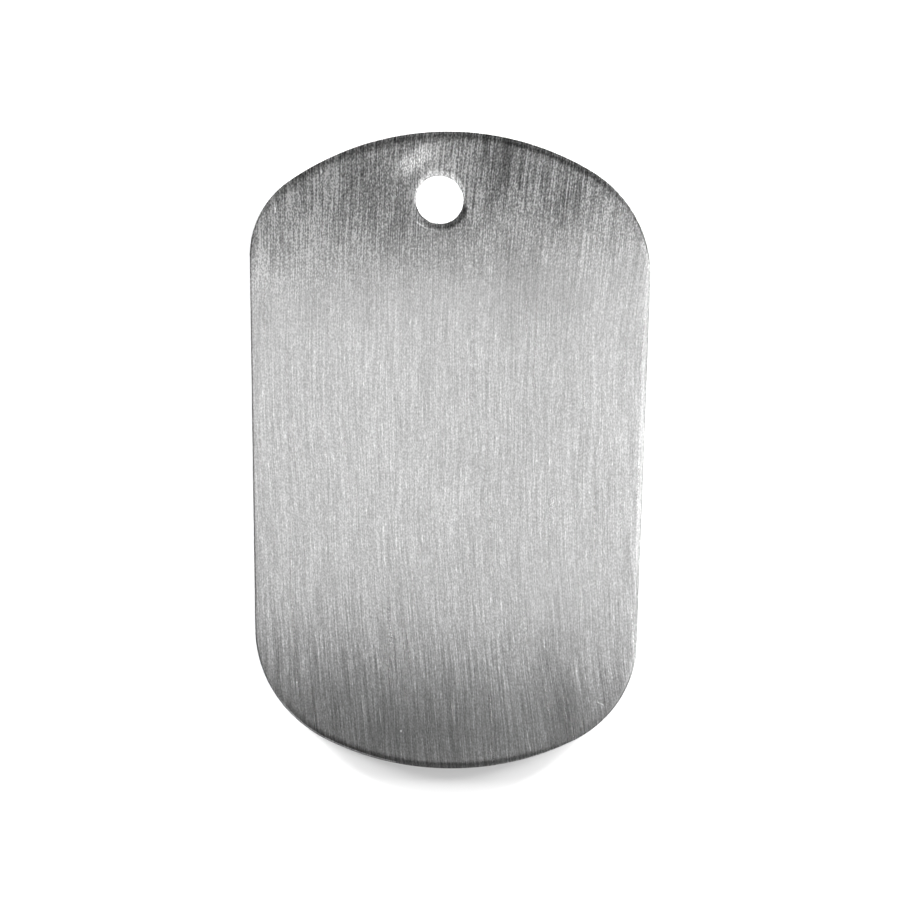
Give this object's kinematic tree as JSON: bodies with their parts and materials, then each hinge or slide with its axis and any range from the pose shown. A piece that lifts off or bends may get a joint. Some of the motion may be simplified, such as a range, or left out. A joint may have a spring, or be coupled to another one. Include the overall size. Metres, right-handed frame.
{
  "type": "identification tag",
  "caption": "Flat blank identification tag with arched ends, rounded shoulders, a rolled front edge and one dished chain hole near the top.",
  "frame": {"origin": "middle of the plate's outline, on the flat back face that it lies on", "axes": "+Z out of the front face, +Y along the length to the end with the hole, +X to the right seen from the front"},
  "size_m": [0.03, 0.05, 0.001],
  "materials": {
    "brushed_steel": "brushed along its length, satin, lightly scratched, pitted and tarnished"
  },
  "bodies": {
    "root": {"tag_plate": "brushed_steel"}
  },
  "joints": []
}
